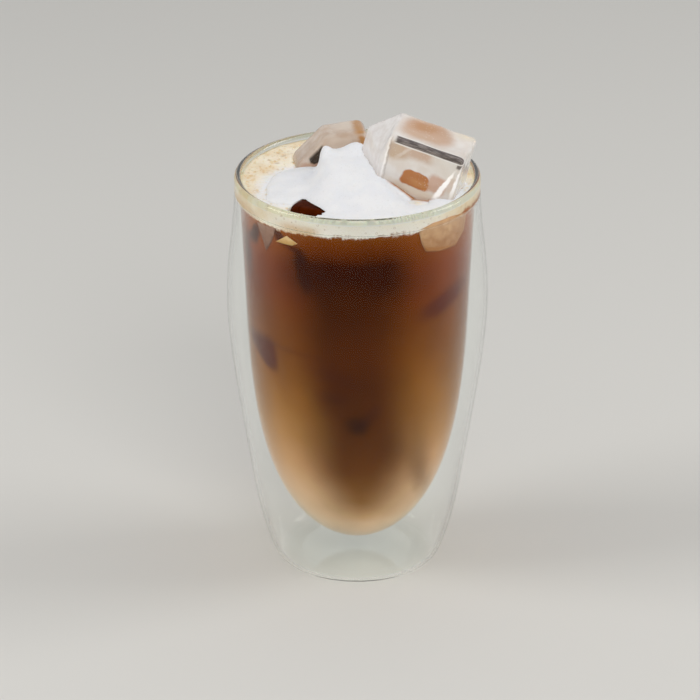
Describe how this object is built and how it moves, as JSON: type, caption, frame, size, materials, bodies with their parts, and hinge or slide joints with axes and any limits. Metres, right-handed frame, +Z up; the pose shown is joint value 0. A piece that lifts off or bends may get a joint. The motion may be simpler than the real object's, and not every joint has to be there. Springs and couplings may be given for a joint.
{
  "type": "iced cappuccino",
  "caption": "Iced milk coffee in a bulging double-walled glass, with a froth band, a white milk foam mound and clear ice blocks standing out of it.",
  "frame": {"origin": "centre of the glass's foot, on the surface it stands on", "axes": "+Z up along the glass's axis; -Y towards the viewer; +X to the viewer's right, where the largest ice block stands"},
  "size_m": [0.0882, 0.088, 0.1625],
  "materials": {
    "clear_glass": "clear, polished",
    "milk_coffee": "liquid, dark brown at the top and pale beige at the bottom",
    "coffee_froth": "wet fine froth, cream to tan",
    "white_foam": "soft matte foam",
    "clear_ice": "wet clear ice"
  },
  "bodies": {
    "root": {"glass": "clear_glass", "coffee": "milk_coffee", "froth": "coffee_froth", "milk_foam": "white_foam", "ice_right": "clear_ice", "ice_back": "clear_ice", "ice_front": "clear_ice"}
  },
  "joints": []
}
